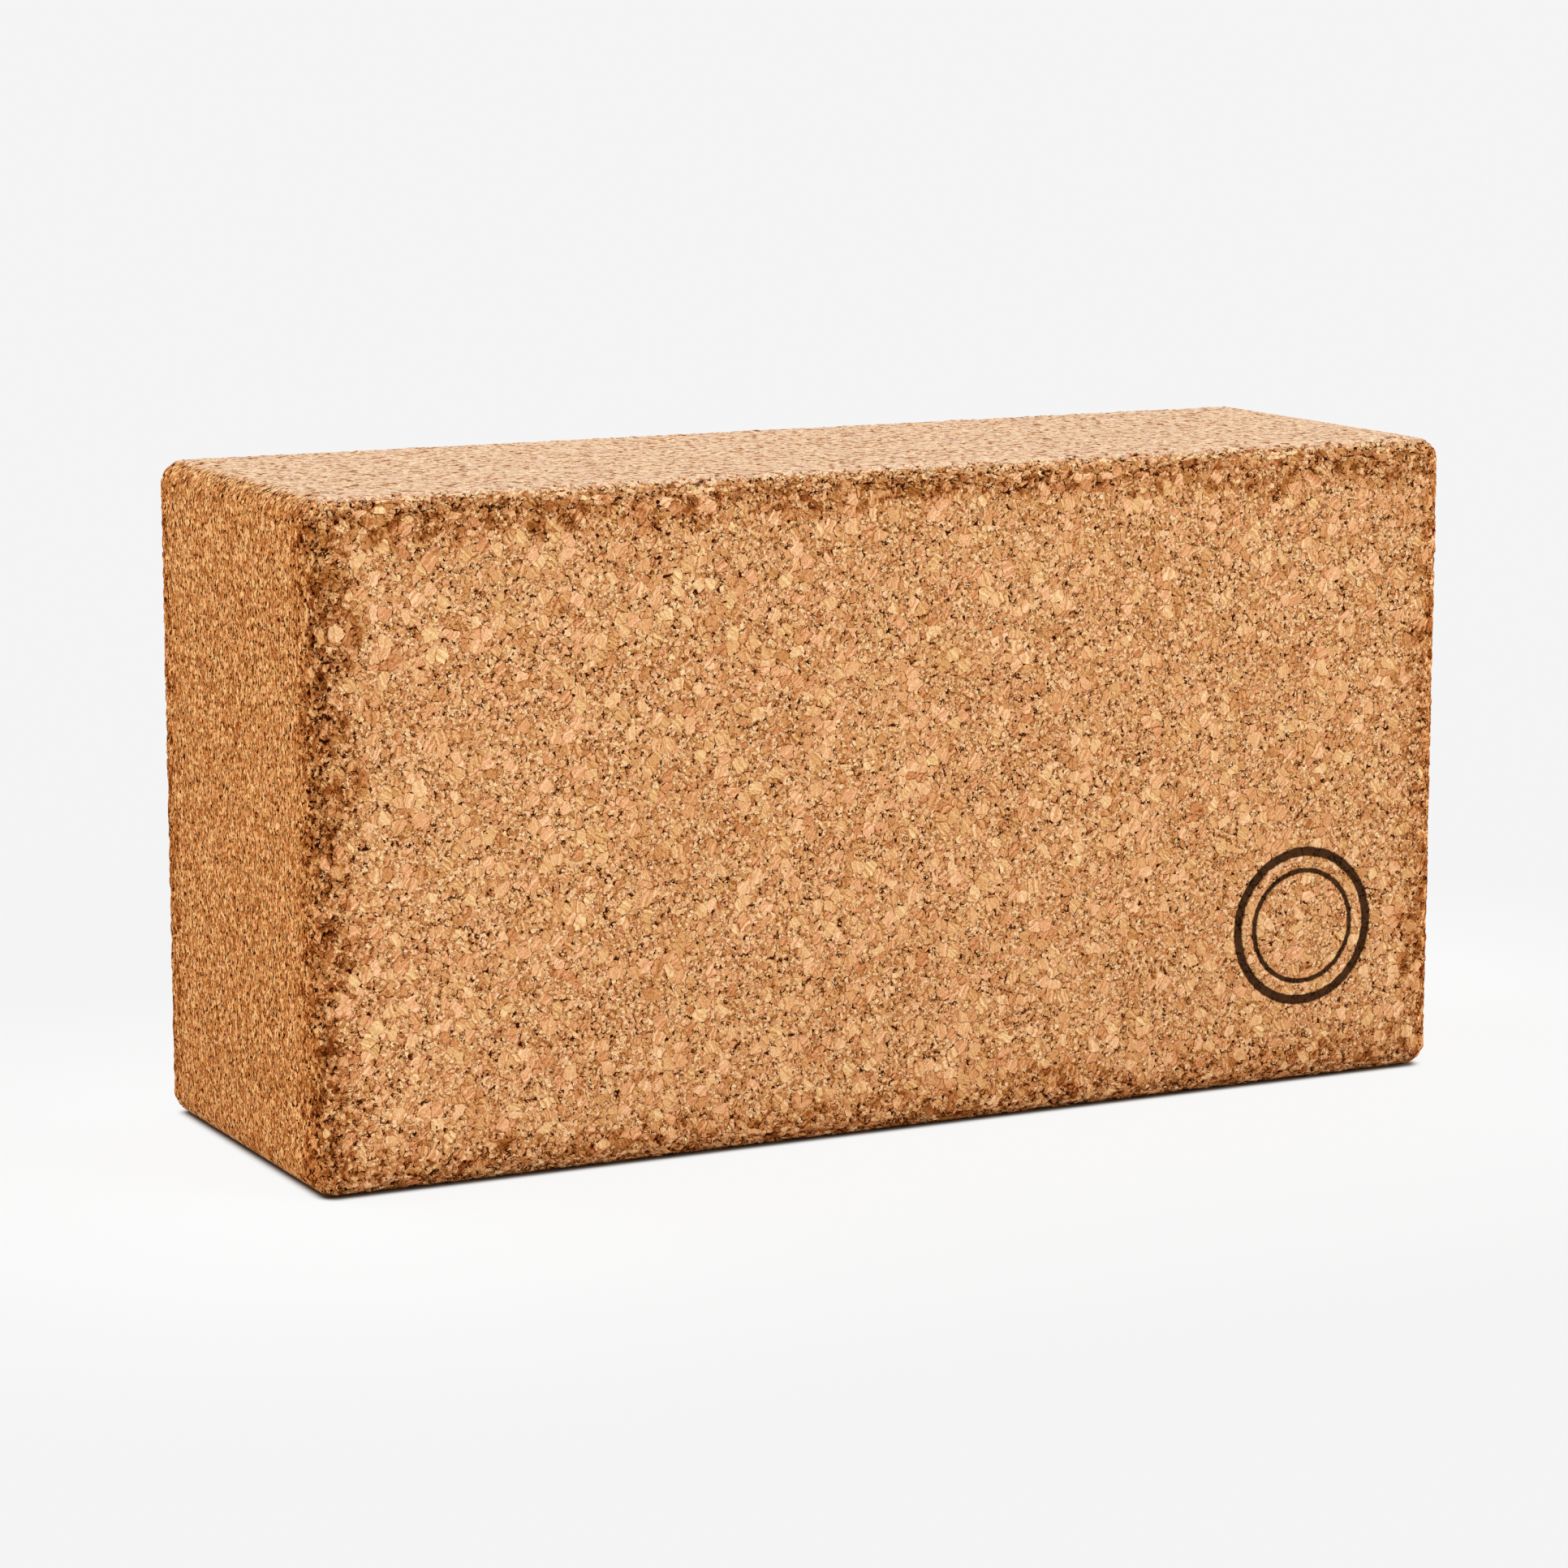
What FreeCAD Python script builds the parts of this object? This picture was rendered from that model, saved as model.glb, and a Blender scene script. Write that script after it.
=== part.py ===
import FreeCAD, Part
import Sketcher
import os

# A yoga block of pressed cork: granules of bark and a binder, pressed into one dense slab, sawn to a brick
# and milled round on all twelve edges with one cutter. It is a single solid piece and nothing on it moves.
# X runs along the length, Y through the thickness from one large face to the other, and Z up from the middle
# of the long side that the block stands on.
doc = FreeCAD.newDocument("yoga_block")

# The driving sizes, in millimetres.
DRIVING_SIZES = {
    "block_length": 227.0,
    "block_height": 120.0,
    "block_thickness": 76.0,
    "edge_radius": 4.5,
}
sheet = doc.addObject("Spreadsheet::Sheet", "sizes")
for row, (alias, millimetres) in enumerate(DRIVING_SIZES.items(), start=1):
    sheet.set(f"A{row}", alias)
    sheet.set(f"B{row}", str(millimetres))
    sheet.setAlias(f"B{row}", alias)
doc.recompute()

block = doc.addObject("PartDesign::Body", "cork_block")
block.Label = "cork_block"
block.Placement = FreeCAD.Placement()


def origin_plane(body, role):
    """Return the body's own origin plane with this role, such as XZ_Plane."""
    return next(feature for feature in body.Origin.OriginFeatures if feature.Role == role)


def draw_large_face(sketch):
    """Draw the large face: a rectangle on the ground line, with its middle on the vertical axis."""
    half_length = sheet.block_length / 2
    bottom_left = FreeCAD.Vector(-half_length, 0, 0)
    bottom_right = FreeCAD.Vector(half_length, 0, 0)
    top_right = FreeCAD.Vector(half_length, sheet.block_height, 0)
    top_left = FreeCAD.Vector(-half_length, sheet.block_height, 0)
    bottom = sketch.addGeometry(Part.LineSegment(bottom_left, bottom_right))
    right = sketch.addGeometry(Part.LineSegment(bottom_right, top_right))
    top = sketch.addGeometry(Part.LineSegment(top_right, top_left))
    left = sketch.addGeometry(Part.LineSegment(top_left, bottom_left))

    start, end = 1, 2
    horizontal_axis, vertical_axis = -1, -2
    for side, next_side in ((bottom, right), (right, top), (top, left), (left, bottom)):
        sketch.addConstraint(Sketcher.Constraint("Coincident", side, end, next_side, start))
    for side in (right, left):
        sketch.addConstraint(Sketcher.Constraint("Vertical", side))
    sketch.addConstraint(Sketcher.Constraint("Horizontal", top))
    sketch.addConstraint(Sketcher.Constraint("PointOnObject", bottom, start, horizontal_axis))
    sketch.addConstraint(Sketcher.Constraint("Symmetric", bottom, start, bottom, end, vertical_axis))

    length = sketch.addConstraint(
        Sketcher.Constraint("DistanceX", bottom, start, bottom, end, sheet.block_length))
    height = sketch.addConstraint(
        Sketcher.Constraint("DistanceY", right, start, right, end, sheet.block_height))
    sketch.setExpression(f"Constraints[{length}]", "sizes.block_length")
    sketch.setExpression(f"Constraints[{height}]", "sizes.block_height")


large_face = block.newObject("Sketcher::SketchObject", "large_face")
large_face.AttachmentSupport = (origin_plane(block, "XZ_Plane"), [""])
large_face.MapMode = "FlatFace"
draw_large_face(large_face)

# The sawn brick, with half of its thickness on each side of the large face's middle plane.
sawn_brick = block.newObject("PartDesign::Pad", "sawn_brick")
sawn_brick.Profile = large_face
sawn_brick.SideType = "Symmetric"
sawn_brick.setExpression("Length", "sizes.block_thickness")
doc.recompute()

# The round-over: one cutter runs along every edge, and its passes meet in a ball at each corner.
rounded_edges = block.newObject("PartDesign::Fillet", "rounded_edges")
rounded_edges.Base = (sawn_brick, [""])
rounded_edges.UseAllEdges = True
rounded_edges.setExpression("Radius", "sizes.edge_radius")
doc.recompute()

for feature in doc.Objects:
    if {"Invalid", "Error"} & set(feature.State):
        raise RuntimeError(f"{feature.Label} did not build: {feature.State}")
if block.Shape.isNull() or not block.Shape.isValid():
    raise RuntimeError(f"{block.Label} has no valid shape")

os.makedirs("parts", exist_ok=True)
block.Shape.exportStep(f"parts/{block.Label}.step")

box = block.Shape.BoundBox
print(f"{block.Label}: {box.XLength:.2f} x {box.YLength:.2f} x {box.ZLength:.2f} mm, "
      f"{len(block.Shape.Solids)} solid, {block.Shape.Volume / 1e6:.4f} litres")
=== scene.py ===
import bmesh
import bpy
import numpy as np
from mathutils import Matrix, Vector


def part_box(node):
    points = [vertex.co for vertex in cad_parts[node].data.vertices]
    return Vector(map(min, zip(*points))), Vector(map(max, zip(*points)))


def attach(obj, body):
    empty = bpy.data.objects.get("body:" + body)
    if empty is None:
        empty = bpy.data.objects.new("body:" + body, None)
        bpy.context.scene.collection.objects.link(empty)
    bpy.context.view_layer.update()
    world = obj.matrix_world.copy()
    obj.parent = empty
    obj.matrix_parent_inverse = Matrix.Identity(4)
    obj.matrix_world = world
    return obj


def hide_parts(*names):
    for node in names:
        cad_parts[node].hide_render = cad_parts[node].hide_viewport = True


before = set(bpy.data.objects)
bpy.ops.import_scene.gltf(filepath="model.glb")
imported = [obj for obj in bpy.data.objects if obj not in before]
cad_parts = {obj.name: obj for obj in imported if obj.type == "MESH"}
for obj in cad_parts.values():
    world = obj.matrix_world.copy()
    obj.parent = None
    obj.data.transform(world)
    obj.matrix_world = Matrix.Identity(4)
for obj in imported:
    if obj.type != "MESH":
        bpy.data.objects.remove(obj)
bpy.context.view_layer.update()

# The block is one brick of pressed cork: bark ground to granules, mixed with a binder, pressed hot across
# the thickness and sawn to size. A round-over cutter runs along all twelve edges, and tears granules out
# of the eight that border the two large faces. Sizes in this section are in millimetres.
mm_per_metre = 1000
lowest, highest = (np.array(corner) * mm_per_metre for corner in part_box("cork_block"))
edge_radius = 4.5
sawn_cell = 1.8
map_gap = 4.0


def saw_brick():
    """Return the sharp brick as a bmesh of near-square cells, with an island on its map for each side."""
    brick = bmesh.new()
    map_layer = brick.loops.layers.uv.new("OFBake")
    size = highest - lowest
    cells = np.round(size / sawn_cell).astype(int)
    ticks = [np.linspace(lowest[axis], highest[axis], cells[axis] + 1) for axis in range(3)]
    points = {}

    def point(place):
        if place not in points:
            points[place] = brick.verts.new([ticks[axis][place[axis]] for axis in range(3)])
        return points[place]

    # The first column of the map holds the large faces and the long sides, four islands with a gap round
    # each. A pair of sides has the axis it lies across, the axes along and up an island, and a column.
    map_side = 2 * (size[1] + size[2]) + 5 * map_gap
    first_column = map_gap
    second_column = size[0] + 2 * map_gap
    pairs = ((1, 0, 2, first_column), (2, 0, 1, first_column), (0, 2, 1, second_column))
    island_floor = {first_column: map_gap, second_column: map_gap}
    for across, along, up, left in pairs:
        turned_in = (up - along) % 3 == 1
        for end in (0, cells[across]):
            island = Vector((left, island_floor[left]))
            island_floor[left] += size[up] + map_gap
            for i in range(cells[along]):
                for j in range(cells[up]):
                    corners = [(i, j), (i + 1, j), (i + 1, j + 1), (i, j + 1)]
                    if turned_in == (end == 0):
                        corners.reverse()
                    ring = []
                    for a, b in corners:
                        place = [end, end, end]
                        place[along], place[up] = a, b
                        ring.append(point(tuple(place)))
                    face = brick.faces.new(ring)
                    face.smooth = True
                    for loop, (a, b) in zip(face.loops, corners):
                        run = ticks[along][a] - lowest[along]
                        rise = ticks[up][b] - lowest[up]
                        loop[map_layer].uv = (island + Vector((run, rise))) / map_side
    return brick


def gap_to_large_edge(places):
    """Return how far each place of the sharp brick lies from the nearest edge of a large face."""
    inset = np.minimum(places - lowest, highest - places)
    return np.maximum(inset[:, 1], np.minimum(inset[:, 0], inset[:, 2]))


def round_over(places):
    """Return the places moved onto the milled brick, and the directions straight out of it there."""
    core = np.clip(places, lowest + edge_radius, highest - edge_radius)
    outward = places - core
    outward /= np.linalg.norm(outward, axis=1, keepdims=True)
    return core + edge_radius * outward, outward


class Recipe:
    """A node tree being filled in: most methods add nodes and hand back what comes out of them."""

    def __init__(self, tree):
        self.tree = tree

    def feed(self, socket, value):
        """Link an output to the socket, or set the socket to a plain value."""
        if isinstance(value, bpy.types.NodeSocket):
            self.tree.links.new(value, socket)
        else:
            socket.default_value = value

    def node(self, kind, inputs=None, **settings):
        made = self.tree.nodes.new(kind)
        for name, value in settings.items():
            setattr(made, name, value)
        for name, value in (inputs or {}).items():
            self.feed(made.inputs[name], value)
        return made

    def reckon(self, operation, *values):
        made = self.node("ShaderNodeMath", operation=operation)
        for socket, value in zip(made.inputs, values):
            self.feed(socket, value)
        return made.outputs["Value"]

    def times(self, first, second):
        return self.reckon("MULTIPLY", first, second)

    def remainder(self, share):
        return self.reckon("SUBTRACT", 1.0, share)

    def between(self, share, low, high):
        """Return the value that lies this share of the way from one number to another."""
        return self.reckon("MULTIPLY_ADD", share, high - low, low)

    def most(self, first, *others):
        largest = first
        for other in others:
            largest = self.reckon("MAXIMUM", largest, other)
        return largest

    def vector(self, operation, *vectors):
        made = self.node("ShaderNodeVectorMath", operation=operation)
        for socket, value in zip(made.inputs, vectors):
            self.feed(socket, value)
        return made.outputs["Value" if operation in ("DOT_PRODUCT", "LENGTH") else "Vector"]

    def parts(self, vector):
        return self.node("ShaderNodeSeparateXYZ", {"Vector": vector}).outputs

    def step(self, value, levels, before=0.0, after=1.0):
        """Go smoothly from one result to the other while the value passes between two levels."""
        made = self.node("ShaderNodeMapRange", interpolation_type="SMOOTHSTEP")
        names = ("Value", "From Min", "From Max", "To Min", "To Max")
        for name, part in zip(names, (value, *levels, before, after)):
            self.feed(made.inputs[name], part)
        return made.outputs["Result"]

    def choose(self, share, first, second, kind):
        """Return the first value, the second, or a blend by share. Kind is FLOAT, VECTOR or RGBA."""
        made = self.node("ShaderNodeMix", data_type=kind)
        sockets = [socket for socket in made.inputs if socket.enabled]
        for socket, value in zip(sockets, (share, first, second)):
            self.feed(socket, value)
        return next(socket for socket in made.outputs if socket.enabled)

    def cloud(self, place, size, detail=1.0, output="Fac"):
        """Return soft noise from 0 to 1, with clouds of about this size."""
        made = self.node("ShaderNodeTexNoise", {"Vector": place, "Scale": 1 / size, "Detail": detail})
        return made.outputs[output]

    def granules(self, place, size):
        """Return how far a place is from its granule's heart, and the lots drawn for that granule."""
        made = self.node("ShaderNodeTexVoronoi", {"Vector": place, "Scale": 1 / size})
        return made.outputs["Distance"], made.outputs["Color"]

    def granule_edge(self, place, size):
        """Return how many millimetres a place lies inside its granule."""
        inputs = {"Vector": place, "Scale": 1 / size}
        made = self.node("ShaderNodeTexVoronoi", inputs, feature="DISTANCE_TO_EDGE")
        return self.times(made.outputs["Distance"], size)


# Granules come in three sizes. The press squeezes each kind across the thickness by its own factor, and
# makes its outlines stray. Chips lie flat, so only the large faces show them. The sides show more grains.
chip_size, grain_size, crumb_size = 2.1, 1.05, 0.5
chip_press, grain_press, crumb_press = 3.0, 1.45, 1.2
chip_stray, grain_stray, crumb_stray = 0.8, 1.2, 1.5
stray_size = 0.9
noise_middle = 0.5
chip_share = 0.3
grain_share, grain_share_across = 0.42, 0.85

# The gaps between granules open and close along their length. They are wider on the sides, where the
# layers are cut across, and where the cutter tore the edge. Levels lie on noise that runs from 0 to 1, and
# pit_reach is counted in grain sizes.
torn_reach = (1.5, 8.0)
torn_opening = 0.04
gap_run = 0.9
gap_levels = (0.52, 0.74)
shut_gap, open_gap = 0.005, 0.14
gap_widening_across = 1.8
gap_floor_share = 0.4
pit_reach = (0.6, 0.72)
pit_levels = (0.6, 0.65)
pore_size, pore_press = 1.1, 1.8
pore_level, pore_level_across, pore_rim = 0.75, 0.62, 0.05
seam_width, crumb_seam_share = 0.18, 0.3


def cork_grain(recipe, place, edge_gap, facing):
    """Add the nodes that lay out the granules at a place; return what the relief and the colour need.

    Facing is how far the surface looks along each axis: X on the ends, Y on the large faces, Z on the long
    sides. A granule's lots are three numbers from 0 to 1 that are its own.
    """
    broad = recipe.parts(facing)["Y"]
    across = recipe.remainder(broad)
    squeezed = recipe.vector("MULTIPLY", place, (1.0, grain_press, 1.0))
    wander = recipe.cloud(squeezed, stray_size, detail=3.0, output="Color")
    wander = recipe.vector("SUBTRACT", wander, [noise_middle] * 3)

    def laid(press, stray):
        strayed = recipe.vector("MULTIPLY", wander, (stray, stray, stray))
        return recipe.vector("ADD", recipe.vector("MULTIPLY", place, (1.0, press, 1.0)), strayed)

    chip_place = laid(chip_press, chip_stray)
    grain_place = laid(grain_press, grain_stray)
    crumb_place = laid(crumb_press, crumb_stray)
    chip_lots = recipe.granules(chip_place, chip_size)[1]
    grain_reach, grain_lots = recipe.granules(grain_place, grain_size)
    crumb_lots = recipe.granules(crumb_place, crumb_size)[1]
    is_chip = recipe.reckon("LESS_THAN", recipe.parts(chip_lots)["X"], recipe.times(broad, chip_share))
    share_here = recipe.between(across, grain_share, grain_share_across)
    is_grain = recipe.reckon("LESS_THAN", recipe.parts(grain_lots)["X"], share_here)

    def of_this_kind(chip, grain, crumb, kind):
        return recipe.choose(is_chip, recipe.choose(is_grain, crumb, grain, kind), chip, kind)

    lots = of_this_kind(chip_lots, grain_lots, crumb_lots, "VECTOR")
    inside_chip = recipe.granule_edge(chip_place, chip_size)
    inside_grain = recipe.granule_edge(grain_place, grain_size)
    inside_crumb = recipe.granule_edge(crumb_place, crumb_size)
    inside = of_this_kind(inside_chip, inside_grain, inside_crumb, "FLOAT")
    crumbly = recipe.remainder(recipe.most(is_chip, is_grain))

    torn = recipe.step(edge_gap, torn_reach, 1.0, 0.0)
    opening = recipe.reckon("MULTIPLY_ADD", torn, torn_opening, recipe.cloud(grain_place, gap_run))
    width = recipe.step(opening, gap_levels, shut_gap, open_gap)
    width = recipe.times(width, recipe.between(across, 1.0, gap_widening_across))
    gap = recipe.step(inside, (recipe.times(width, gap_floor_share), width), 1.0, 0.0)
    pit = recipe.times(recipe.step(grain_reach, pit_reach), recipe.step(opening, pit_levels))
    pit = recipe.times(pit, recipe.remainder(is_chip))
    pore_field = recipe.cloud(recipe.vector("MULTIPLY", place, (1.0, pore_press, 1.0)), pore_size)
    pore_start = recipe.between(across, pore_level, pore_level_across)
    pore = recipe.step(pore_field, (pore_start, recipe.reckon("ADD", pore_start, pore_rim)))
    seam = recipe.step(inside, (0.0, seam_width), 1.0, 0.0)
    seam = recipe.times(seam, recipe.between(crumbly, 1.0, crumb_seam_share))
    return {
        "across": across, "crumbly": crumbly, "torn": torn,
        "gap": gap, "pit": pit, "pore": pore, "seam": seam,
        "lots": lots, "chip_lots": chip_lots, "grain_lots": grain_lots,
        "grain_place": grain_place, "crumb_place": crumb_place,
    }


# A hot stamp burns two plain rings into the lower right of the front: each has its radius and its stroke.
stamp_inset = 30.0
stamp_rings = ((14.1, 1.8), (10.5, 1.0))
stamp_depth = 0.35
stamp_blur = 0.15
stamp_waver, waver_size = 0.2, 0.9


def burnt(recipe, place):
    """Return 1 where the stamp has burnt the cork, and 0 elsewhere."""
    middle = (highest[0] - stamp_inset, 0.0, lowest[2] + stamp_inset)
    offset = recipe.vector("MULTIPLY", recipe.vector("SUBTRACT", place, middle), (1.0, 0.0, 1.0))
    waver = recipe.between(recipe.cloud(place, waver_size), -stamp_waver, stamp_waver)
    radius = recipe.reckon("ADD", recipe.vector("LENGTH", offset), waver)
    rings = []
    for ring_radius, stroke in stamp_rings:
        from_line = recipe.reckon("ABSOLUTE", recipe.reckon("SUBTRACT", radius, ring_radius))
        rim = (stroke / 2 - stamp_blur, stroke / 2 + stamp_blur)
        rings.append(recipe.step(from_line, rim, 1.0, 0.0))
    in_front = recipe.reckon("LESS_THAN", recipe.parts(place)["Y"], 0.0)
    return recipe.times(recipe.most(*rings), in_front)


# Where the edge is torn, chips and grains break off at their own heights and leave holes. The large faces
# have shallower pores, which end where a face turns into a side.
chip_heights = (-0.15, 0.05)
grain_heights = (-0.2, 0.05)
hole_depth = 0.6
pore_share = 0.6
pore_end = (0.0, 0.3)


def cork_relief(recipe, grain, burn):
    """Return how far the cork stands proud of the milled surface, in millimetres."""
    chip_height = recipe.between(recipe.parts(grain["chip_lots"])["Z"], *chip_heights)
    grain_height = recipe.between(recipe.parts(grain["grain_lots"])["Z"], *grain_heights)
    torn_height = recipe.times(recipe.reckon("ADD", chip_height, grain_height), grain["torn"])
    torn_holes = recipe.times(recipe.most(grain["pit"], grain["gap"]), grain["torn"])
    pores = recipe.times(grain["pore"], recipe.step(grain["across"], pore_end, pore_share, 0.0))
    relief = recipe.reckon("MULTIPLY_ADD", recipe.most(torn_holes, pores), -hole_depth, torn_height)
    return recipe.reckon("MULTIPLY_ADD", burn, -stamp_depth, relief)


def keep_on_points(mesh, name, values):
    """Store a number or a vector for each point of a mesh, under a name that nodes can read."""
    if values.ndim == 1:
        mesh.attributes.new(name, "FLOAT", "POINT").data.foreach_set("value", values)
    else:
        mesh.attributes.new(name, "FLOAT_VECTOR", "POINT").data.foreach_set("vector", values.ravel())


def relief_at(places, edge_gaps, facings):
    """Return the relief at many places at once, worked out by the same nodes that colour the cork."""
    tree = bpy.data.node_groups.new("cork_relief", "GeometryNodeTree")
    tree.interface.new_socket("Geometry", in_out="INPUT", socket_type="NodeSocketGeometry")
    tree.interface.new_socket("Geometry", in_out="OUTPUT", socket_type="NodeSocketGeometry")
    recipe = Recipe(tree)
    here = recipe.node("GeometryNodeInputPosition").outputs["Position"]
    edge_gap = recipe.node("GeometryNodeInputNamedAttribute", {"Name": "edge_gap"}, data_type="FLOAT")
    facing = recipe.node("GeometryNodeInputNamedAttribute", {"Name": "facing"}, data_type="FLOAT_VECTOR")
    grain = cork_grain(recipe, here, edge_gap.outputs["Attribute"], facing.outputs["Attribute"])
    relief = cork_relief(recipe, grain, burnt(recipe, here))
    start = recipe.node("NodeGroupInput").outputs["Geometry"]
    stored = {"Geometry": start, "Name": "relief", "Value": relief}
    kept = recipe.node("GeometryNodeStoreNamedAttribute", stored)
    recipe.node("NodeGroupOutput", {"Geometry": kept.outputs["Geometry"]})

    dots_mesh = bpy.data.meshes.new("cork_dots")
    dots_mesh.from_pydata(places, [], [])
    keep_on_points(dots_mesh, "edge_gap", edge_gaps)
    keep_on_points(dots_mesh, "facing", facings)
    dots = bpy.data.objects.new("cork_dots", dots_mesh)
    bpy.context.collection.objects.link(dots)
    dots.modifiers.new("relief", "NODES").node_group = tree
    measured = dots.evaluated_get(bpy.context.evaluated_depsgraph_get()).data
    heights = np.empty(len(places), dtype=np.float32)
    measured.attributes["relief"].data.foreach_get("value", heights)
    bpy.data.objects.remove(dots)
    bpy.data.meshes.remove(dots_mesh)
    bpy.data.node_groups.remove(tree)
    return heights


def surface_at(sharp_places):
    """Return the milled places, the directions out of them, their gaps to a large edge and their relief."""
    milled_places, outward = round_over(sharp_places)
    edge_gaps = gap_to_large_edge(sharp_places)
    return milled_places, outward, edge_gaps, relief_at(milled_places, edge_gaps, np.abs(outward))


# Cells with relief in them are cut finer. Each cell is tried at the points that such a cut would add, and
# the many-sided cells that are left next to finer ones are cut into triangles.
fine_cuts = 2
least_relief = 0.05
brick = saw_brick()
corners = np.array([[vert.co for vert in face.verts] for face in brick.faces])
shares = np.linspace(0.0, 1.0, fine_cuts + 2)
tried = []
for run in shares:
    for rise in shares:
        weights = np.array([(1 - run) * (1 - rise), run * (1 - rise), run * rise, (1 - run) * rise])
        tried.append(np.einsum("k,fkx->fx", weights, corners))
tried_relief = surface_at(np.concatenate(tried))[3].reshape(len(tried), -1)
rough = np.abs(tried_relief).max(axis=0) > least_relief
rough_faces = [face for face, is_rough in zip(brick.faces, rough) if is_rough]
fine_edges = dict.fromkeys(edge for face in rough_faces for edge in face.edges)
bmesh.ops.subdivide_edges(brick, edges=list(fine_edges), cuts=fine_cuts, use_grid_fill=True)
many_sided = [face for face in brick.faces if len(face.verts) > 4]
bmesh.ops.triangulate(brick, faces=many_sided, ngon_method="BEAUTY")
sharp_places = np.array([vert.co for vert in brick.verts])
milled_places, outward, edge_gaps, relief = surface_at(sharp_places)
finished_places = (milled_places + outward * relief[:, None]) / mm_per_metre
for vert, finished_place in zip(brick.verts, finished_places):
    vert.co = finished_place

cork_mesh = bpy.data.meshes.new("cork_block_surface")
brick.to_mesh(cork_mesh)
brick.free()
keep_on_points(cork_mesh, "cork_place", milled_places)
keep_on_points(cork_mesh, "edge_gap", edge_gaps)
keep_on_points(cork_mesh, "facing", np.abs(outward))
cork_block = bpy.data.objects.new("cork_block_surface", cork_mesh)
bpy.context.collection.objects.link(cork_block)
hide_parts("cork_block")
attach(cork_block, "root")


def seen(red, green, blue):
    """Return a colour, given as it looks on a screen, in the linear values that a shader takes."""
    screen = np.array([red, green, blue]) / 255
    linear = np.where(screen <= 0.04045, screen / 12.92, ((screen + 0.055) / 1.055) ** 2.4)
    return (*linear.tolist(), 1.0)


def tones(recipe, tone, stops):
    """Return the colour at a tone, from a row of colours that each have their own tone."""
    made = recipe.node("ShaderNodeValToRGB", {"Fac": tone})
    ramp = made.color_ramp
    while len(ramp.elements) < len(stops):
        ramp.elements.new(1.0)
    for element, (position, colour) in zip(ramp.elements, stops):
        element.position = position
        element.color = seen(*colour)
    return made.outputs["Color"]


cork = bpy.data.materials.new("pressed_cork")
cork.use_nodes = True
recipe = Recipe(cork.node_tree)
place = recipe.node("ShaderNodeAttribute", attribute_name="cork_place").outputs["Vector"]
edge_gap = recipe.node("ShaderNodeAttribute", attribute_name="edge_gap").outputs["Fac"]
facing = recipe.node("ShaderNodeAttribute", attribute_name="facing").outputs["Vector"]
grain = cork_grain(recipe, place, edge_gap, facing)
lots = recipe.parts(grain["lots"])

# The tone runs from 0, the dark of a hollow, to 1, the pale of fresh cork. Each granule has a tone of its
# own, and tones differ most among crumbs, on the sides and where the edge is torn.
middle_tone = 0.69
even_spread, mixed_spread = 0.22, 0.4
mixed = recipe.most(grain["torn"], grain["crumbly"], grain["across"])
spread = recipe.between(mixed, even_spread, mixed_spread)
tone = recipe.reckon("SUBTRACT", lots["Y"], noise_middle)
tone = recipe.reckon("MULTIPLY_ADD", tone, spread, middle_tone)

# Growth rings cross each granule as fine parallel lines, turned its own way, and a finer mottle lies over
# them.
ring_width, ring_share = 0.45, 0.45
mottle_size = 0.2
streak_depth = 1.2
ring_way = recipe.vector("NORMALIZE", recipe.vector("SUBTRACT", grain["lots"], [noise_middle] * 3))
ring_run = recipe.vector("DOT_PRODUCT", grain["grain_place"], ring_way)
ring_inputs = {"W": ring_run, "Scale": 1 / ring_width, "Detail": 1.0}
rings = recipe.node("ShaderNodeTexNoise", ring_inputs, noise_dimensions="1D").outputs["Fac"]
mottle = recipe.times(recipe.cloud(grain["crumb_place"], mottle_size, detail=2.0), 1 - ring_share)
streaks = recipe.reckon("MULTIPLY_ADD", rings, ring_share, mottle)
streaks = recipe.reckon("SUBTRACT", streaks, noise_middle)
tone = recipe.reckon("MULTIPLY_ADD", streaks, streak_depth, tone)

# The seams between granules are a little darker, here and there.
seam_run, seam_levels = 0.8, (0.46, 0.6)
seam_tone = -0.3
broken = recipe.step(recipe.cloud(grain["crumb_place"], seam_run), seam_levels, 0.0, seam_tone)
tone = recipe.reckon("MULTIPLY_ADD", grain["seam"], broken, tone)

# Torn edges are darker, in a band of uneven width with a crust in places. This is partly the darker cork of
# the torn granules and partly painted shade, as these edges get less light than the faces, so the band
# stops where the edges turn up. The upper side and the edges round it are painted paler, a painted
# highlight, apart from small spots that are painted a little darker, and a pale painted sheen lies on the
# flat top.
bark_and_shade_reach = (5.5, 9.5)
bark_and_shade_swing, bark_and_shade_swing_size = 7.0, 7.0
crust_size, crust_levels = 2.6, (0.5, 0.6)
bark_and_shade_tone, crust_tone = -0.05, -0.24
upper_part = (40.0, 80.0)
top_light_reach, sheen_reach = (0.3, 1.0), (0.85, 1.0)
sheen_gap_size, sheen_gap_levels = 1.3, (0.54, 0.61)
top_light_tone, sheen_gap_tone = 0.12, -0.1
swing = recipe.between(recipe.cloud(place, bark_and_shade_swing_size, detail=3.0), -bark_and_shade_swing, bark_and_shade_swing)
bark_and_shade = recipe.step(recipe.reckon("ADD", edge_gap, swing), bark_and_shade_reach, 1.0, 0.0)
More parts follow.
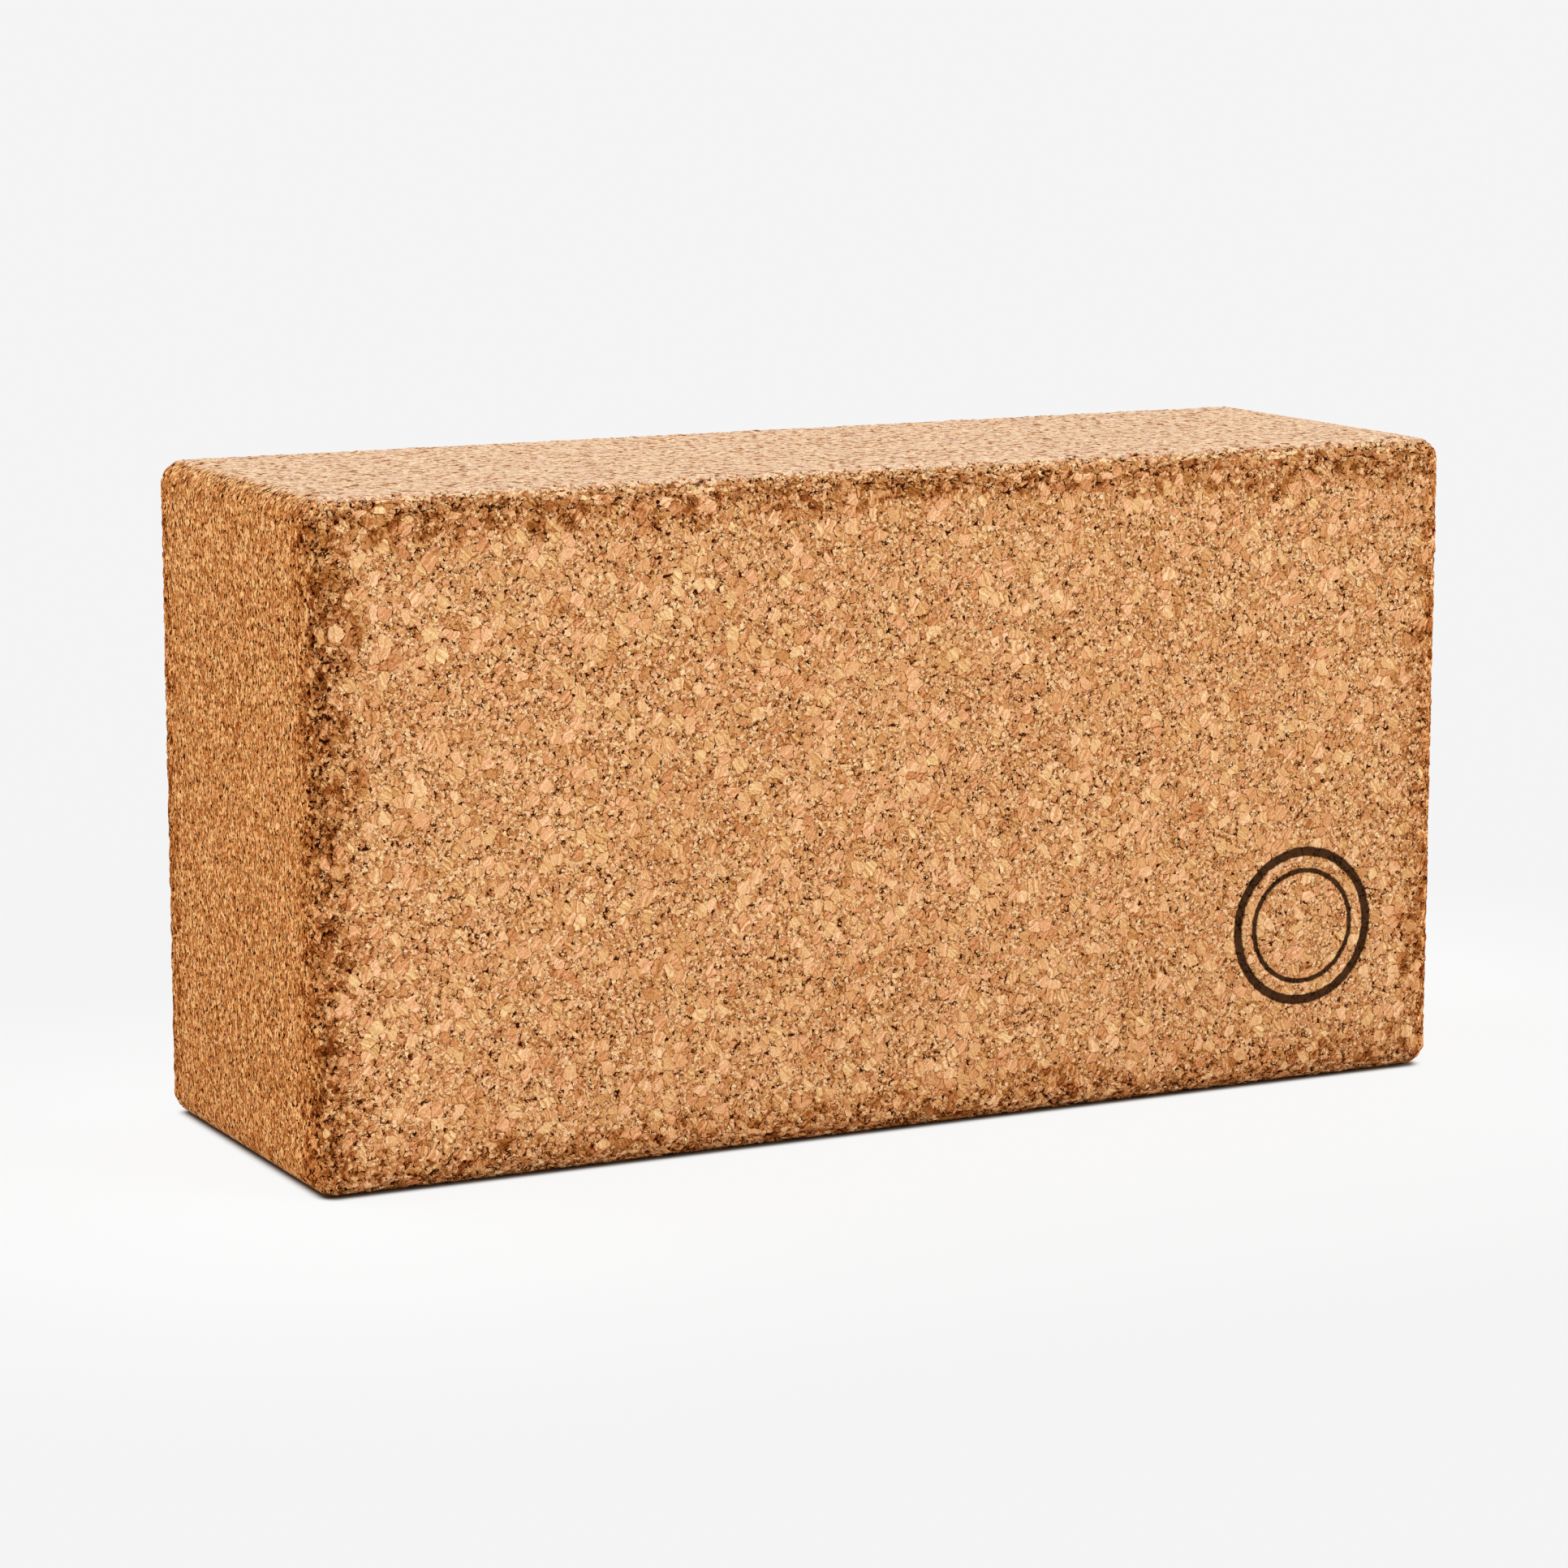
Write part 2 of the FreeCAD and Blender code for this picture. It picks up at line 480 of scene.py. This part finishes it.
# The painted highlight and the painted sheen lie on the upper side and the edges round it, where the light
# falls.
upward = recipe.times(recipe.parts(facing)["Z"], recipe.step(recipe.parts(place)["Z"], upper_part))
painted_top_light = recipe.step(upward, top_light_reach)
crust = recipe.cloud(grain["grain_place"], crust_size, detail=2.0)
crust = recipe.step(crust, crust_levels, bark_and_shade_tone, crust_tone)
tone = recipe.reckon("MULTIPLY_ADD", recipe.times(bark_and_shade, recipe.remainder(painted_top_light)), crust, tone)
sheen_gap = recipe.step(recipe.cloud(place, sheen_gap_size, detail=2.0), sheen_gap_levels)
tone = recipe.reckon("MULTIPLY_ADD", painted_top_light, recipe.between(sheen_gap, top_light_tone, sheen_gap_tone), tone)
painted_sheen = recipe.times(recipe.step(upward, sheen_reach), recipe.remainder(sheen_gap))

# Hollows are painted nearly black, a painted shade inside them, and lighter under the painted sheen.
hollow_tone, sheened_hollow_tone = 0.08, 0.48
hollow = recipe.most(grain["gap"], grain["pit"], grain["pore"])
tone = recipe.choose(hollow, tone, recipe.between(painted_sheen, hollow_tone, sheened_hollow_tone), "FLOAT")

# Darker tones are redder. Granules lean to yellow or to pink, the ends are painted more orange, a painted
# shade for the shade in their open pores, and the burn is a dark brown.
cork_tones = (
    (0.1, (52, 18, 5)), (0.28, (122, 60, 19)), (0.44, (166, 100, 49)),
    (0.59, (206, 141, 85)), (0.74, (236, 180, 126)), (0.9, (255, 221, 172)),
)
yellow_lean, pink_lean = (0.98, 1.02, 0.92), (1.03, 0.94, 1.0)
sheen_colour, sheen_share = seen(250, 240, 226), 0.32
end_shade_lean = (1.15, 0.99, 0.77)
burnt_hollow, burnt_cork = seen(28, 16, 9), seen(78, 50, 30)
burnt_levels = (0.3, 0.8)
lean = recipe.choose(lots["Z"], yellow_lean, pink_lean, "VECTOR")
colour = recipe.vector("MULTIPLY", tones(recipe, tone, cork_tones), lean)
# The pale painted sheen whitens the flat top.
colour = recipe.choose(recipe.times(painted_sheen, sheen_share), colour, sheen_colour, "RGBA")
end_shade_colour = recipe.vector("MULTIPLY", colour, end_shade_lean)
colour = recipe.choose(recipe.parts(facing)["X"], colour, end_shade_colour, "RGBA")
char = recipe.choose(recipe.step(tone, burnt_levels), burnt_hollow, burnt_cork, "RGBA")
colour = recipe.choose(burnt(recipe, place), colour, char, "RGBA")

# The cork is matt, and hollows are the roughest. Pale granules stand up a little, less so on the sides.
rough_levels, hollow_roughness, cork_roughness = (0.1, 0.8), 0.95, 0.7
bump_height, bump_height_across = 0.12, 0.06
surface = cork.node_tree.nodes["Principled BSDF"]
surface.inputs["Specular IOR Level"].default_value = 0.0
recipe.feed(surface.inputs["Base Color"], colour)
roughness = recipe.step(tone, rough_levels, hollow_roughness, cork_roughness)
recipe.feed(surface.inputs["Roughness"], roughness)
height = recipe.times(tone, recipe.between(grain["across"], bump_height, bump_height_across))
bump = recipe.node("ShaderNodeBump", {"Height": height, "Distance": 1 / mm_per_metre})
recipe.feed(surface.inputs["Normal"], bump.outputs["Normal"])
cork_mesh.materials.append(cork)

# The block stands on a wide white table that has no edge in sight. Under the block's rounded edges the
# table is painted darker, to deepen the thin line of shade there, and further out it fades into the even
# white of the room. Sizes from here on are in metres.
table_reach = 60.0
table_mesh = bpy.data.meshes.new("table_top")
table_corners = [
    (-table_reach, -table_reach, 0), (table_reach, -table_reach, 0),
    (table_reach, table_reach, 0), (-table_reach, table_reach, 0),
]
table_mesh.from_pydata(table_corners, [], [(0, 1, 2, 3)])
table_top = bpy.data.objects.new("table_top", table_mesh)
bpy.context.collection.objects.link(table_top)

open_paint, sheltered_paint = (0.9, 0.9, 0.9, 1.0), (0.3, 0.25, 0.2, 1.0)
shelter_reach = (0.0018, 0.0045)
faded_share = 0.9
# Round the block the table's white is painted brighter, a painted pool of light that fades out into the
# room's white.
pool_white, room_white, pool_reach = 0.98, 0.9, (0.0, 0.15)
white = bpy.data.materials.new("white_table")
white.use_nodes = True
sheet = Recipe(white.node_tree)
paint = white.node_tree.nodes["Principled BSDF"]
paint.inputs["Roughness"].default_value = 1.0
paint.inputs["Specular IOR Level"].default_value = 0.0


def looked_at(recipe):
    """Return 1 for rays that show a surface to the eye, straight on or mirrored, and 0 for other rays."""
    path = recipe.node("ShaderNodeLightPath").outputs
    return recipe.most(path["Is Camera Ray"], path["Is Glossy Ray"], path["Is Transmission Ray"])


spot = sheet.vector("ABSOLUTE", sheet.node("ShaderNodeNewGeometry").outputs["Position"])
half_underside = (highest - edge_radius) / mm_per_metre
half_underside[2] = 0.0
beyond = sheet.vector("MAXIMUM", sheet.vector("SUBTRACT", spot, half_underside), (0.0, 0.0, 0.0))
away = sheet.vector("LENGTH", beyond)
sheltered = sheet.step(away, shelter_reach, 1.0, 0.0)
sheet.feed(paint.inputs["Base Color"], sheet.choose(sheltered, open_paint, sheltered_paint, "RGBA"))
glow = sheet.node("ShaderNodeEmission", {"Strength": sheet.step(away, pool_reach, pool_white, room_white)})
fade = sheet.step(away, shelter_reach, 0.0, faded_share)
faded = sheet.node("ShaderNodeMixShader", {"Fac": sheet.times(looked_at(sheet), fade)})
sheet.feed(faded.inputs[1], paint.outputs["BSDF"])
sheet.feed(faded.inputs[2], glow.outputs["Emission"])
sheet.feed(white.node_tree.nodes["Material Output"].inputs["Surface"], faded.outputs["Shader"])
table_mesh.materials.append(white)

# The light is that of a white studio: an even room, a large soft lamp to the front right, and a weaker one
# behind on the left, so that the edge between the front and the left end falls into shade.
room_light = 0.58
lamp_width = 30.0
room = bpy.data.worlds.new("white_room")
room.use_nodes = True
bpy.context.scene.world = room
air = Recipe(room.node_tree)
background = room.node_tree.nodes["Background"]
background.inputs["Color"].default_value = (1.0, 1.0, 1.0, 1.0)
air.feed(background.inputs["Strength"], air.between(looked_at(air), room_light, room_white))


def soft_lamp(name, turn, rise, strength):
    """Hang a far, wide lamp. Turn is from the front towards the right, and rise from level, in degrees."""
    lamp = bpy.data.lights.new(name, "SUN")
    lamp.angle = np.radians(lamp_width)
    lamp.energy = strength
    hung = bpy.data.objects.new(name, lamp)
    hung.rotation_euler = (np.radians(90.0 - rise), 0.0, np.radians(turn))
    bpy.context.collection.objects.link(hung)


soft_lamp("key_lamp", turn=45.0, rise=30.0, strength=1.45)
soft_lamp("rim_lamp", turn=-130.0, rise=55.0, strength=1.1)

# The camera looks at the front large face from the left and from a little above. It is tilted down and its
# picture isn't shifted, so it can be taken round the block.
viewpoint = (-0.4034, -0.7829, 0.2122)
view_direction = Vector((0.4459, 0.8782, -0.1729))
camera = bpy.data.cameras.new("camera")
camera.lens = 110.9
camera.sensor_width = 36.0
camera.clip_end = 100.0
viewer = bpy.data.objects.new("camera", camera)
viewer.location = viewpoint
viewer.rotation_mode = "QUATERNION"
viewer.rotation_quaternion = view_direction.to_track_quat("-Z", "Y")
bpy.context.collection.objects.link(viewer)
bpy.context.scene.camera = viewer
bpy.context.scene.view_settings.view_transform = "Standard"
